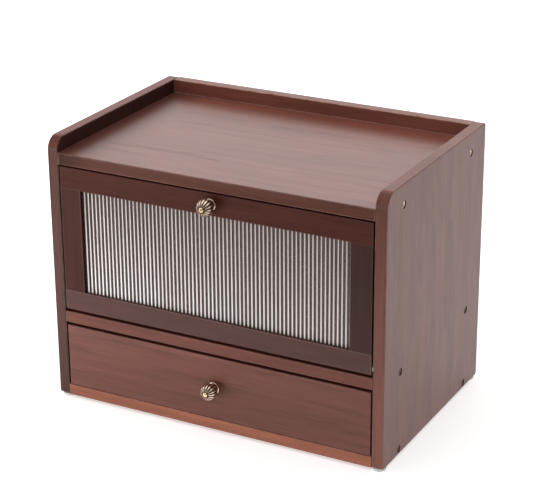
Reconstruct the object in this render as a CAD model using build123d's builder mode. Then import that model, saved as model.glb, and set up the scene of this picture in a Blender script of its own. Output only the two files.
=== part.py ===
from build123d import *
import os
from math import asin, cos, pi, sin, sqrt

# Bread box with a drop-front door and a drawer, in millimetres.
# X runs across the front, +Y runs to the back and +Z is up. The origin is on the surface that
# the box stands on, in the middle of its footprint with the knobs counted in.

# ---- driving dimensions: case ----
case_width = 365.0
case_depth = 235.0
board = 12.0  # side panels, top board, shelf and bottom board
drawer_bay_height = 70.0
bread_bay_height = 156.5
rim_height = 14.5  # how far the side panels and the rail stand above the top board
foot_height = 3.0
foot_radius = 6.75
foot_inset = 0.5  # from the front and back edges of the side panels
foot_chamfer = 0.6
shoulder_radius = 14.0  # rounded top front corner of a side panel
heel_radius = 3.0  # the other corners of a side panel
edge_ease = 1.0  # sanded edges of the boards
back_panel_thickness = 4.0
back_panel_inset = 6.0  # from the back of the case to the back of the panel
groove_depth = 5.0
groove_play = 0.1  # on each face of a panel in its groove
groove_end_gap = 0.5  # from a panel's edge to the bottom of its groove
rail_thickness = 12.0
rail_dowel_radius = 2.5
rail_dowel_in_board = 5.0
rail_dowel_in_rail = 8.0
rail_dowel_spacing = 140.0

# ---- driving dimensions: fasteners ----
screw_inset = 37.0  # case screws, from the front and back edges of a side panel
screw_recess_radius = 4.0
screw_recess_depth = 1.0
screw_head_radius = 3.8
screw_shank_radius = 2.0
screw_length = 40.0
small_screw_head_radius = 2.8
small_screw_shank_radius = 1.4
small_screw_length = 18.0
fastener_play = 0.05  # on the radius of every screw, dowel and pin that is seated

# ---- driving dimensions: door ----
door_thickness = 11.0
door_gap = 1.5  # round all four edges of the door
frame_width = 22.5
pane_recess = 3.5  # from the front of the frame to the crests of the reeds
pane_thickness = 3.0
pane_edge = 4.5  # how far the pane goes into the frame
frame_groove_depth = 5.0
reed_pitch = 4.3
reed_height = 0.7
pivot_setback = 7.0  # pivot axis behind the front of the door
pivot_height = 7.0  # pivot axis above the bottom edge of the door
door_toe_radius = 4.0  # rounded bottom front edge, which turns clear of the shelf
pin_radius = 2.0
pin_in_panel = 8.0
pin_in_door = 12.0
pin_chamfer = 0.5
pivot_play = 0.05  # running clearance on the radius of the pivot pins
washer_radius = 5.5
washer_play = 0.2  # on each face and on the bore
stop_width = 14.0
stop_depth = 9.0
stop_gap = 0.4  # behind the closed door
stop_heel_gap = 0.3  # above the heel of the open door
magnet_radius = 4.0
magnet_length = 3.0
magnet_inset = 7.0  # magnet axis from the inner face of the side panel
strike_thickness = 1.0

# ---- driving dimensions: drawer ----
drawer_front_thickness = 12.0
drawer_side_gap = 1.5
drawer_top_gap = 3.0
drawer_bottom_gap = 0.5
drawer_slide_gap = 0.3  # under the drawer's sides
drawer_back_gap = 5.0
drawer_wall = 9.0
drawer_side_height = 56.0
drawer_back_drop = 4.0  # the back is this much lower than the sides
drawer_rebate = 6.0  # how far the sides are let into the front
drawer_bottom_thickness = 4.0
drawer_bottom_lift = 6.0  # bottom panel above the lower edge of the sides
drawer_groove_depth = 4.0
drawer_screw_margin = 12.0  # from the top and bottom of the drawer's back

# ---- driving dimensions: knobs ----
knob_projection = 18.5
knob_lobes = 16
knob_radius = 8.3
knob_body_start = 4.3
knob_body_end = 16.6
knob_mouth_radius = 4.3  # where the lobed body ends, at the neck and at the front
knob_crease = 0.75  # depth of the creases at the fullest part
knob_stations = 7
knob_collar_radius = 5.9
knob_collar_rim = 1.2
knob_neck_radius = 3.5
knob_neck_start = 3.2
knob_button_radius = 2.6
knob_ring_width = 0.9
knob_ring_depth = 0.9
knob_screw_radius = 2.0
knob_screw_depth = 9.0
knob_screw_head_radius = 4.0
knob_screw_head_height = 2.4

# ---- planes and levels that follow from them ----
half_width = case_width / 2
inner_half = half_width - board
front = (knob_projection - case_depth) / 2
back = front + case_depth
panel_bottom = foot_height
bay_floor = panel_bottom + board
bay_roof = bay_floor + drawer_bay_height
shelf_top = bay_roof + board
bread_roof = shelf_top + bread_bay_height
top_surface = bread_roof + board
panel_top = top_surface + rim_height
back_panel_rear = back - back_panel_inset
back_panel_front = back_panel_rear - back_panel_thickness
back_panel_middle = (back_panel_front + back_panel_rear) / 2
board_levels = (panel_bottom + board / 2, bay_roof + board / 2, bread_roof + board / 2)
screw_rows = (front + screw_inset, back - screw_inset)

door_half = inner_half - door_gap
door_bottom = shelf_top + door_gap
door_top = bread_roof - door_gap
window_half = door_half - frame_width
window_bottom = door_bottom + frame_width
window_top = door_top - frame_width
door_rear = front + door_thickness
pane_front = front + pane_recess
pane_rear = pane_front + pane_thickness
pivot_y = front + pivot_setback
pivot_z = door_bottom + pivot_height
stop_front = door_rear + stop_gap
stop_bottom = pivot_z + door_rear - pivot_y + stop_heel_gap
magnet_x = inner_half - magnet_inset
door_knob_z = door_top - frame_width / 2
magnet_z = door_knob_z

drawer_half = inner_half - drawer_side_gap
drawer_front_bottom = bay_floor + drawer_bottom_gap
drawer_front_top = bay_roof - drawer_top_gap
drawer_side_bottom = bay_floor + drawer_slide_gap
drawer_side_top = drawer_side_bottom + drawer_side_height
drawer_front_rear = front + drawer_front_thickness
drawer_rear = back_panel_front - drawer_back_gap
drawer_inner_half = drawer_half - drawer_wall
drawer_panel_bottom = drawer_side_bottom + drawer_bottom_lift
drawer_panel_top = drawer_panel_bottom + drawer_bottom_thickness
drawer_back_top = drawer_side_top - drawer_back_drop
drawer_knob_z = (drawer_front_bottom + drawer_front_top) / 2

# The toe of the turning door has to pass over the shelf.
toe_reach = door_toe_radius + sqrt(
    (pivot_setback - door_toe_radius) ** 2 + (pivot_height - door_toe_radius) ** 2
)
print(f"overall height {panel_top:.1f}, toe clears the shelf by {pivot_height + door_gap - toe_reach:.2f}")

os.makedirs("parts", exist_ok=True)

# ---- case: side panels ----
outer_screw_planes = [
    Plane(origin=(half_width, y, z), x_dir=(0, 1, 0), z_dir=(1, 0, 0))
    for z in board_levels
    for y in screw_rows
]
seat_screw_planes = [plane.offset(-screw_recess_depth) for plane in outer_screw_planes]
pivot_plane = Plane(origin=(inner_half, pivot_y, pivot_z), x_dir=(0, -1, 0), z_dir=(-1, 0, 0))
stop_screw_levels = (stop_bottom + (bread_roof - stop_bottom) / 4, bread_roof - (bread_roof - stop_bottom) / 4)
stop_middle = stop_front + stop_depth / 2
stop_screw_planes = [
    Plane(origin=(inner_half - stop_width, stop_middle, z), x_dir=(0, -1, 0), z_dir=(-1, 0, 0))
    for z in stop_screw_levels
]

with BuildPart() as side_panel_right:
    with BuildSketch(Plane.YZ.offset(inner_half)) as panel_outline:
        with Locations(((front + back) / 2, (panel_bottom + panel_top) / 2)):
            Rectangle(case_depth, panel_top - panel_bottom)
        shoulder = panel_outline.vertices().group_by(Axis.Y)[-1].sort_by(Axis.X)[0]
        fillet(shoulder, shoulder_radius)
        fillet(panel_outline.vertices().group_by(Axis.Y)[0], heel_radius)
        fillet(panel_outline.vertices().group_by(Axis.X)[-1].sort_by(Axis.Y)[-1], heel_radius)
    extrude(amount=board)
    fillet(side_panel_right.faces().sort_by(Axis.X)[-1].edges(), edge_ease)
    fillet(side_panel_right.faces().sort_by(Axis.X)[0].edges(), edge_ease)
    with BuildSketch(Plane.YZ.offset(inner_half)):
        with Locations((back_panel_middle, (bay_floor + bread_roof) / 2)):
            Rectangle(
                back_panel_thickness + 2 * groove_play,
                bread_roof - bay_floor + 2 * groove_depth,
            )
    extrude(amount=groove_depth, mode=Mode.SUBTRACT)
    with Locations(*outer_screw_planes):
        Hole(radius=screw_recess_radius, depth=screw_recess_depth)
    with Locations(*seat_screw_planes):
        CounterSinkHole(
            radius=screw_shank_radius + fastener_play,
            counter_sink_radius=screw_head_radius + fastener_play,
            depth=board,
            counter_sink_angle=90,
        )
    with Locations(pivot_plane):
        Hole(radius=pin_radius + fastener_play, depth=pin_in_panel)
    with Locations(*[plane.offset(-stop_width) for plane in stop_screw_planes]):
        Hole(radius=small_screw_shank_radius + fastener_play, depth=small_screw_length - stop_width)
side_panel_right.part.label = "side_panel_right"
export_step(side_panel_right.part, "parts/side_panel_right.step")

with BuildPart() as side_panel_left:
    mirror(side_panel_right.part, about=Plane.YZ)
side_panel_left.part.label = "side_panel_left"
export_step(side_panel_left.part, "parts/side_panel_left.step")

# ---- case: boards ----
board_end_planes = [
    Plane(origin=(side * inner_half, 0, 0), x_dir=(0, side, 0), z_dir=(side, 0, 0)) for side in (-1, 1)
]
pilot_depth = screw_length - board + screw_recess_depth

with BuildPart() as bottom_board:
    with BuildSketch(Plane.XY.offset(panel_bottom)):
        with Locations((0, (front + back) / 2)):
            Rectangle(2 * inner_half, case_depth)
    extrude(amount=board)
    fillet(bottom_board.edges().filter_by(Axis.X), edge_ease)
    with BuildSketch(Plane.XY.offset(bay_floor)):
        with Locations((0, back_panel_middle)):
            Rectangle(2 * inner_half, back_panel_thickness + 2 * groove_play)
    extrude(amount=-groove_depth, mode=Mode.SUBTRACT)
    for plane in board_end_planes:
        with Locations(*[plane.location * Pos(plane.x_dir.Y * y, board_levels[0], 0) for y in screw_rows]):
            Hole(radius=screw_shank_radius + fastener_play, depth=pilot_depth)
bottom_board.part.label = "bottom_board"
export_step(bottom_board.part, "parts/bottom_board.step")

with BuildPart() as middle_shelf:
    with BuildSketch(Plane.XY.offset(bay_roof)):
        with Locations((0, (front + back_panel_front - groove_play) / 2)):
            Rectangle(2 * inner_half, back_panel_front - groove_play - front)
    extrude(amount=board)
    fillet(middle_shelf.edges().filter_by(Axis.X), edge_ease)
    for plane in board_end_planes:
        with Locations(*[plane.location * Pos(plane.x_dir.Y * y, board_levels[1], 0) for y in screw_rows]):
            Hole(radius=screw_shank_radius + fastener_play, depth=pilot_depth)
middle_shelf.part.label = "middle_shelf"
export_step(middle_shelf.part, "parts/middle_shelf.step")

rail_middle = back - rail_thickness / 2
rail_dowel_places = [(step * rail_dowel_spacing, rail_middle) for step in (-1, 0, 1)]

with BuildPart() as top_board:
    with BuildSketch(Plane.XY.offset(bread_roof)):
        with Locations((0, (front + back) / 2)):
            Rectangle(2 * inner_half, case_depth)
    extrude(amount=board)
    fillet(top_board.edges().filter_by(Axis.X), edge_ease)
    with BuildSketch(Plane.XY.offset(bread_roof)):
        with Locations((0, back_panel_middle)):
            Rectangle(2 * inner_half, back_panel_thickness + 2 * groove_play)
    extrude(amount=groove_depth, mode=Mode.SUBTRACT)
    for plane in board_end_planes:
        with Locations(*[plane.location * Pos(plane.x_dir.Y * y, board_levels[2], 0) for y in screw_rows]):
            Hole(radius=screw_shank_radius + fastener_play, depth=pilot_depth)
    with BuildSketch(Plane.XY.offset(top_surface)):
        with Locations(*rail_dowel_places):
            Circle(rail_dowel_radius + fastener_play)
    extrude(amount=-rail_dowel_in_board, mode=Mode.SUBTRACT)
top_board.part.label = "top_board"
export_step(top_board.part, "parts/top_board.step")

# ---- case: back panel, gallery rail and its dowels ----
with BuildPart() as back_panel:
    with BuildSketch(Plane.XY.offset(bay_floor - groove_depth + groove_end_gap)):
        with Locations((0, back_panel_middle)):
            Rectangle(2 * (inner_half + groove_depth - groove_end_gap), back_panel_thickness)
    extrude(amount=bread_roof - bay_floor + 2 * (groove_depth - groove_end_gap))
back_panel.part.label = "back_panel"
export_step(back_panel.part, "parts/back_panel.step")

with BuildPart() as gallery_rail:
    with BuildSketch(Plane.XY.offset(top_surface)):
        with Locations((0, rail_middle)):
            Rectangle(2 * inner_half, rail_thickness)
    extrude(amount=rim_height)
    fillet(gallery_rail.edges().group_by(Axis.Z)[-1], edge_ease)
    with BuildSketch(Plane.XY.offset(top_surface)):
        with Locations(*rail_dowel_places):
            Circle(rail_dowel_radius + fastener_play)
    extrude(amount=rail_dowel_in_rail, mode=Mode.SUBTRACT)
gallery_rail.part.label = "gallery_rail"
export_step(gallery_rail.part, "parts/gallery_rail.step")

with BuildPart() as rail_dowels:
    with BuildSketch(Plane.XY.offset(top_surface - rail_dowel_in_board)):
        with Locations(*rail_dowel_places):
            Circle(rail_dowel_radius)
    extrude(amount=rail_dowel_in_board + rail_dowel_in_rail)
rail_dowels.part.label = "rail_dowels"
export_step(rail_dowels.part, "parts/rail_dowels.step")


# ---- countersunk wood screws ----
def wood_screw_outline(head_radius, shank_radius, length):
    """Half the section of a countersunk screw whose head lies in the XY plane, with its shank below."""
    with BuildLine() as outline:
        Polyline(
            (0, 0),
            (head_radius, 0),
            (shank_radius, -(head_radius - shank_radius)),
            (shank_radius, -length),
            (0, -length),
            close=True,
        )
    return outline.edges()


with BuildPart() as case_screw:
    with BuildSketch(Plane.XZ):
        make_face(wood_screw_outline(screw_head_radius, screw_shank_radius, screw_length))
    revolve(axis=Axis.Z)

with BuildPart() as small_screw:
    with BuildSketch(Plane.XZ):
        make_face(
            wood_screw_outline(small_screw_head_radius, small_screw_shank_radius, small_screw_length)
        )
    revolve(axis=Axis.Z)

with BuildPart() as case_screws_right:
    with Locations(*seat_screw_planes):
        add(case_screw.part)
case_screws_right.part.label = "case_screws_right"
export_step(case_screws_right.part, "parts/case_screws_right.step")

with BuildPart() as case_screws_left:
    mirror(case_screws_right.part, about=Plane.YZ)
case_screws_left.part.label = "case_screws_left"
export_step(case_screws_left.part, "parts/case_screws_left.step")

# ---- case: feet ----
foot_x = half_width - foot_radius
for depth_name, foot_y in (
    ("front", front + foot_inset + foot_radius),
    ("back", back - foot_inset - foot_radius),
):
    for side_name, side in (("left", -1), ("right", 1)):
        with BuildPart() as foot:
            with BuildSketch():
                with Locations((side * foot_x, foot_y)):
                    Circle(foot_radius)
            extrude(amount=foot_height)
            chamfer(foot.edges().group_by(Axis.Z)[0], foot_chamfer)
        foot.part.label = f"foot_{depth_name}_{side_name}"
        export_step(foot.part, f"parts/foot_{depth_name}_{side_name}.step")

# ---- case: door stops, with the catch magnets and the screws that hold them ----
magnet_plane = Plane(origin=(magnet_x, stop_front, magnet_z), x_dir=(1, 0, 0), z_dir=(0, -1, 0))

with BuildPart() as door_stop_right:
    with BuildSketch(Plane.XY.offset(stop_bottom)):
        with Locations((inner_half - stop_width / 2, stop_middle)):
            Rectangle(stop_width, stop_depth)
    extrude(amount=bread_roof - stop_bottom)
    fillet(door_stop_right.edges().filter_by(Axis.Z).group_by(Axis.X)[0], edge_ease)
    with Locations(magnet_plane):
        Hole(radius=magnet_radius + fastener_play, depth=magnet_length)
    with Locations(*stop_screw_planes):
        CounterSinkHole(
            radius=small_screw_shank_radius + fastener_play,
            counter_sink_radius=small_screw_head_radius + fastener_play,
            depth=stop_width,
            counter_sink_angle=90,
        )
door_stop_right.part.label = "door_stop_right"
export_step(door_stop_right.part, "parts/door_stop_right.step")

with BuildPart() as door_stop_left:
    mirror(door_stop_right.part, about=Plane.YZ)
door_stop_left.part.label = "door_stop_left"
export_step(door_stop_left.part, "parts/door_stop_left.step")

with BuildPart() as stop_screws_right:
    with Locations(*stop_screw_planes):
        add(small_screw.part)
stop_screws_right.part.label = "stop_screws_right"
export_step(stop_screws_right.part, "parts/stop_screws_right.step")

with BuildPart() as stop_screws_left:
    mirror(stop_screws_right.part, about=Plane.YZ)
stop_screws_left.part.label = "stop_screws_left"
export_step(stop_screws_left.part, "parts/stop_screws_left.step")

with BuildPart() as catch_magnet_right:
    with BuildSketch(magnet_plane):
        Circle(magnet_radius)
    extrude(amount=-magnet_length)
catch_magnet_right.part.label = "catch_magnet_right"
export_step(catch_magnet_right.part, "parts/catch_magnet_right.step")

with BuildPart() as catch_magnet_left:
    mirror(catch_magnet_right.part, about=Plane.YZ)
catch_magnet_left.part.label = "catch_magnet_left"
export_step(catch_magnet_left.part, "parts/catch_magnet_left.step")

# ---- case: pivot pins and washers ----
with BuildPart() as pivot_pin_right:
    with BuildSketch(pivot_plane.offset(-pin_in_panel)):
        Circle(pin_radius)
    extrude(amount=pin_in_panel + door_gap + pin_in_door)
    chamfer(pivot_pin_right.edges().filter_by(GeomType.CIRCLE), pin_chamfer)
pivot_pin_right.part.label = "pivot_pin_right"
export_step(pivot_pin_right.part, "parts/pivot_pin_right.step")

with BuildPart() as pivot_pin_left:
    mirror(pivot_pin_right.part, about=Plane.YZ)
pivot_pin_left.part.label = "pivot_pin_left"
export_step(pivot_pin_left.part, "parts/pivot_pin_left.step")

with BuildPart() as pivot_washer_right:
    with BuildSketch(pivot_plane.offset(washer_play)):
        Circle(washer_radius)
        Circle(pin_radius + washer_play, mode=Mode.SUBTRACT)
    extrude(amount=door_gap - 2 * washer_play)
pivot_washer_right.part.label = "pivot_washer_right"
export_step(pivot_washer_right.part, "parts/pivot_washer_right.step")

with BuildPart() as pivot_washer_left:
    mirror(pivot_washer_right.part, about=Plane.YZ)
pivot_washer_left.part.label = "pivot_washer_left"
export_step(pivot_washer_left.part, "parts/pivot_washer_left.step")

# ---- door: frame ----
frame_groove_middle = (pane_front + pane_rear) / 2
frame_groove_thickness = pane_thickness + 2 * groove_play
pin_bore_planes = [
    Plane(origin=(side * door_half, pivot_y, pivot_z), x_dir=(0, side, 0), z_dir=(side, 0, 0))
    for side in (-1, 1)
]
door_knob_rear = Plane(origin=(0, door_rear, door_knob_z), x_dir=(-1, 0, 0), z_dir=(0, 1, 0))
strike_planes = [
    Plane(origin=(side * magnet_x, door_rear, magnet_z), x_dir=(-1, 0, 0), z_dir=(0, 1, 0))
    for side in (-1, 1)
]

with BuildPart() as door_rail_bottom:
    with BuildSketch(Plane.YZ.offset(-door_half)) as rail_section:
        with Locations((front + door_thickness / 2, door_bottom + frame_width / 2)):
            Rectangle(door_thickness, frame_width)
        toe = rail_section.vertices().group_by(Axis.Y)[0].sort_by(Axis.X)[0]
        fillet(toe, door_toe_radius)
        with Locations((frame_groove_middle, window_bottom - frame_groove_depth / 2)):
            Rectangle(frame_groove_thickness, frame_groove_depth, mode=Mode.SUBTRACT)
    extrude(amount=2 * door_half)
    with Locations(*pin_bore_planes):
        Hole(radius=pin_radius + pivot_play, depth=pin_in_door + pin_chamfer)
door_rail_bottom.part.label = "door_rail_bottom"
export_step(door_rail_bottom.part, "parts/door_rail_bottom.step")

with BuildPart() as door_rail_top:
    with BuildSketch(Plane.YZ.offset(-door_half)) as rail_section:
        with Locations((front + door_thickness / 2, door_top - frame_width / 2)):
            Rectangle(door_thickness, frame_width)
        fillet(rail_section.vertices().group_by(Axis.Y)[-1], edge_ease)
        with Locations((frame_groove_middle, window_top + frame_groove_depth / 2)):
            Rectangle(frame_groove_thickness, frame_groove_depth, mode=Mode.SUBTRACT)
    extrude(amount=2 * door_half)
    with Locations(door_knob_rear):
        Hole(radius=knob_screw_radius + fastener_play, depth=door_thickness)
    with Locations(*strike_planes):
        Hole(radius=magnet_radius + fastener_play, depth=strike_thickness)
door_rail_top.part.label = "door_rail_top"
export_step(door_rail_top.part, "parts/door_rail_top.step")

with BuildPart() as door_stile_right:
    with BuildSketch(Plane.XY.offset(window_bottom)) as stile_section:
        with Locations((door_half - frame_width / 2, front + door_thickness / 2)):
            Rectangle(frame_width, door_thickness)
        with Locations((window_half + frame_groove_depth / 2, frame_groove_middle)):
            Rectangle(frame_groove_depth, frame_groove_thickness, mode=Mode.SUBTRACT)
    extrude(amount=window_top - window_bottom)
    # a tongue at each end fills the groove of the rail it meets
    with BuildSketch(Plane.XY.offset(window_bottom - frame_groove_depth + groove_end_gap)):
        with Locations((door_half - (frame_width - frame_groove_depth) / 2, frame_groove_middle)):
            Rectangle(frame_width - frame_groove_depth, pane_thickness)
    extrude(amount=window_top - window_bottom + 2 * (frame_groove_depth - groove_end_gap))
door_stile_right.part.label = "door_stile_right"
export_step(door_stile_right.part, "parts/door_stile_right.step")

with BuildPart() as door_stile_left:
    mirror(door_stile_right.part, about=Plane.YZ)
door_stile_left.part.label = "door_stile_left"
export_step(door_stile_left.part, "parts/door_stile_left.step")

# ---- door: reeded pane ----
pane_half = window_half + pane_edge
reed_count = round(2 * pane_half / reed_pitch)
reed_width = 2 * pane_half / reed_count
reed_valley = pane_front + reed_height

with BuildPart() as door_pane:
    with BuildSketch(Plane.XY.offset(window_bottom - pane_edge)):
        with BuildLine():
            for reed in range(reed_count):
                start = -pane_half + reed * reed_width
                ThreePointArc(
                    (start, reed_valley),
                    (start + reed_width / 2, pane_front),
                    (start + reed_width, reed_valley),
                )
            Polyline(
                (pane_half, reed_valley),
                (pane_half, pane_rear),
                (-pane_half, pane_rear),
                (-pane_half, reed_valley),
            )
        make_face()
    extrude(amount=window_top - window_bottom + 2 * pane_edge)
door_pane.part.label = "door_pane"
export_step(door_pane.part, "parts/door_pane.step")

# ---- door: strike discs opposite the magnets ----
for side_name, strike_plane in zip(("left", "right"), strike_planes):
    with BuildPart() as strike_disc:
        with BuildSketch(strike_plane):
            Circle(magnet_radius)
        extrude(amount=-strike_thickness)
    strike_disc.part.label = f"strike_disc_{side_name}"
    export_step(strike_disc.part, f"parts/strike_disc_{side_name}.step")

# ---- pumpkin knob, standing on the XZ plane and reaching towards -Y ----
knob_body_middle = (knob_body_start + knob_body_end) / 2
knob_body_half = (knob_body_end - knob_body_start) / 2
knob_fullness = sqrt(1 - (knob_mouth_radius / knob_radius) ** 2)


def lobed_ring(radius):
    """Closed outline of knob_lobes convex arcs that meet in creases."""
    crease_radius = radius * (1 - knob_crease / knob_radius)
    step = 2 * pi / knob_lobes
    with BuildLine() as outline:
        for lobe in range(knob_lobes):
            start, middle, end = lobe * step, (lobe + 0.5) * step, (lobe + 1) * step
            ThreePointArc(
                (crease_radius * cos(start), crease_radius * sin(start)),
                (radius * cos(middle), radius * sin(middle)),
                (crease_radius * cos(end), crease_radius * sin(end)),
            )
    return outline.edges()


with BuildPart() as pumpkin_knob:
    for station in range(knob_stations):
        # the stations are at even turns of the round section, so they crowd towards both ends
        turn = (2 * station / (knob_stations - 1) - 1) * asin(knob_fullness)
        reach = knob_body_middle + knob_body_half * sin(turn) / knob_fullness
        with BuildSketch(Plane.XZ.offset(reach)):
            make_face(lobed_ring(knob_radius * cos(turn)))
    loft(ruled=True)
    # turned collar and neck
    with BuildSketch(Plane.XY):
        with BuildLine():
            Polyline(
                (0, -knob_body_middle),
                (0, 0),
                (knob_collar_radius, 0),
                (knob_collar_radius, -knob_collar_rim),
            )
            TangentArc(
                (knob_collar_radius, -knob_collar_rim),
                (knob_neck_radius, -knob_neck_start),
                tangent=(-1, 0),
            )
            Polyline(
                (knob_neck_radius, -knob_neck_start),
                (knob_neck_radius, -knob_body_middle),
                (0, -knob_body_middle),
            )
        make_face()
    revolve(axis=Axis.Y)
    # sunk ring and domed button at the front
    with BuildSketch(Plane.XZ.offset(knob_body_end)):
        Circle(knob_button_radius + knob_ring_width)
    extrude(amount=-knob_ring_depth, mode=Mode.SUBTRACT)
    with BuildSketch(Plane.XY):
        with BuildLine():
            Polyline(
                (0, -knob_projection),
                (0, -knob_body_middle),
                (knob_button_radius, -knob_body_middle),
                (knob_button_radius, -knob_body_end),
            )
            RadiusArc(
                (knob_button_radius, -knob_body_end),
                (0, -knob_projection),
                (knob_button_radius**2 + (knob_projection - knob_body_end) ** 2)
                / (2 * (knob_projection - knob_body_end)),
            )
        make_face()
    revolve(axis=Axis.Y)
    with Locations(Plane(origin=(0, 0, 0), x_dir=(-1, 0, 0), z_dir=(0, 1, 0))):
        Hole(radius=knob_screw_radius + fastener_play, depth=knob_screw_depth)

with BuildPart() as door_knob:
    with Locations((0, front, door_knob_z)):
        add(pumpkin_knob.part)
door_knob.part.label = "door_knob"
export_step(door_knob.part, "parts/door_knob.step")

with BuildPart() as drawer_knob:
    with Locations((0, front, drawer_knob_z)):
        add(pumpkin_knob.part)
drawer_knob.part.label = "drawer_knob"
export_step(drawer_knob.part, "parts/drawer_knob.step")

# ---- knob screws, put in from behind ----
for name, thickness, screw_z in (
    ("door_knob_screw", door_thickness, door_knob_z),
    ("drawer_knob_screw", drawer_front_thickness, drawer_knob_z),
):
    seat = Plane(origin=(0, front + thickness, screw_z), x_dir=(-1, 0, 0), z_dir=(0, 1, 0))
    with BuildPart() as knob_screw:
        with BuildSketch(seat):
            Circle(knob_screw_head_radius)
        extrude(amount=knob_screw_head_height)
        chamfer(knob_screw.edges().group_by(Axis.Y)[-1], edge_ease)
        with BuildSketch(seat):
            Circle(knob_screw_radius)
        extrude(amount=-(thickness + knob_screw_depth - pin_chamfer))
    knob_screw.part.label = name
    export_step(knob_screw.part, f"parts/{name}.step")

# ---- drawer ----
drawer_groove_thickness = drawer_bottom_thickness + 2 * groove_play
drawer_panel_middle = (drawer_panel_bottom + drawer_panel_top) / 2
drawer_side_start = drawer_front_rear - drawer_rebate
drawer_side_middle = (drawer_side_start + drawer_rear) / 2
drawer_back_middle = drawer_rear - drawer_wall / 2

with BuildPart() as drawer_front:
    with BuildSketch(Plane.XY.offset(drawer_front_bottom)):
        with Locations((0, (front + drawer_front_rear) / 2)):
            Rectangle(2 * drawer_half, drawer_front_thickness)
    extrude(amount=drawer_front_top - drawer_front_bottom)
    fillet(drawer_front.faces().sort_by(Axis.Y)[0].edges(), edge_ease)
    # rebates that take the sides, and the groove that takes the bottom
    with BuildSketch(Plane.XY.offset(drawer_front_bottom)):
        for side in (-1, 1):
            with Locations((side * (drawer_half - drawer_wall / 2), drawer_front_rear - drawer_rebate / 2)):
                Rectangle(drawer_wall + 2 * groove_play, drawer_rebate)
    extrude(amount=drawer_side_top + groove_play - drawer_front_bottom, mode=Mode.SUBTRACT)
    with BuildSketch(Plane.XZ.offset(-drawer_front_rear)):
        with Locations((0, drawer_panel_middle)):
            Rectangle(2 * drawer_half, drawer_groove_thickness)
    extrude(amount=drawer_groove_depth, mode=Mode.SUBTRACT)
    with Locations(Plane(origin=(0, drawer_front_rear, drawer_knob_z), x_dir=(-1, 0, 0), z_dir=(0, 1, 0))):
        Hole(radius=knob_screw_radius + fastener_play, depth=drawer_front_thickness)
drawer_front.part.label = "drawer_front"
export_step(drawer_front.part, "parts/drawer_front.step")

drawer_screw_levels = (
    drawer_panel_top + drawer_screw_margin,
    drawer_back_top - drawer_screw_margin,
)
drawer_screw_planes = [
    Plane(origin=(drawer_half, drawer_back_middle, z), x_dir=(0, 1, 0), z_dir=(1, 0, 0))
    for z in drawer_screw_levels
]

with BuildPart() as drawer_side_right:
    with BuildSketch(Plane.XY.offset(drawer_side_bottom)):
        with Locations((drawer_half - drawer_wall / 2, drawer_side_middle)):
            Rectangle(drawer_wall, drawer_rear - drawer_side_start)
    extrude(amount=drawer_side_height)
    fillet(drawer_side_right.edges().filter_by(Axis.Y).group_by(Axis.Z)[-1], edge_ease)
    with BuildSketch(Plane.YZ.offset(drawer_inner_half)):
        with Locations((drawer_side_middle, drawer_panel_middle)):
            Rectangle(drawer_rear - drawer_side_start, drawer_groove_thickness)
    extrude(amount=drawer_groove_depth, mode=Mode.SUBTRACT)
    with Locations(*drawer_screw_planes):
        CounterSinkHole(
            radius=small_screw_shank_radius + fastener_play,
            counter_sink_radius=small_screw_head_radius + fastener_play,
            depth=drawer_wall,
            counter_sink_angle=90,
        )
drawer_side_right.part.label = "drawer_side_right"
export_step(drawer_side_right.part, "parts/drawer_side_right.step")

with BuildPart() as drawer_side_left:
    mirror(drawer_side_right.part, about=Plane.YZ)
drawer_side_left.part.label = "drawer_side_left"
export_step(drawer_side_left.part, "parts/drawer_side_left.step")

with BuildPart() as drawer_back:
    with BuildSketch(Plane.XY.offset(drawer_panel_top + groove_play)):
        with Locations((0, drawer_back_middle)):
            Rectangle(2 * drawer_inner_half, drawer_wall)
    extrude(amount=drawer_back_top - drawer_panel_top - groove_play)
    fillet(drawer_back.edges().filter_by(Axis.X).group_by(Axis.Z)[-1], edge_ease)
    for side in (-1, 1):
        with Locations(
            *[
                Plane(origin=(side * drawer_inner_half, drawer_back_middle, z), z_dir=(side, 0, 0))
                for z in drawer_screw_levels
            ]
        ):
            Hole(radius=small_screw_shank_radius + fastener_play, depth=small_screw_length - drawer_wall)
drawer_back.part.label = "drawer_back"
export_step(drawer_back.part, "parts/drawer_back.step")

with BuildPart() as drawer_bottom:
    panel_start = drawer_front_rear - drawer_groove_depth + groove_end_gap
    with BuildSketch(Plane.XY.offset(drawer_panel_bottom)):
        with Locations((0, (panel_start + drawer_rear) / 2)):
            Rectangle(
                2 * (drawer_inner_half + drawer_groove_depth - groove_end_gap),
                drawer_rear - panel_start,
            )
    extrude(amount=drawer_bottom_thickness)
drawer_bottom.part.label = "drawer_bottom"
export_step(drawer_bottom.part, "parts/drawer_bottom.step")

with BuildPart() as drawer_screws_right:
    with Locations(*drawer_screw_planes):
        add(small_screw.part)
drawer_screws_right.part.label = "drawer_screws_right"
export_step(drawer_screws_right.part, "parts/drawer_screws_right.step")

with BuildPart() as drawer_screws_left:
    mirror(drawer_screws_right.part, about=Plane.YZ)
drawer_screws_left.part.label = "drawer_screws_left"
export_step(drawer_screws_left.part, "parts/drawer_screws_left.step")
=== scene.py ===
"""Bread box with a reeded drop door and a drawer: its finishes, knobs, screws, light and camera."""

import math

import bpy
from mathutils import Matrix, Vector


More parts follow.
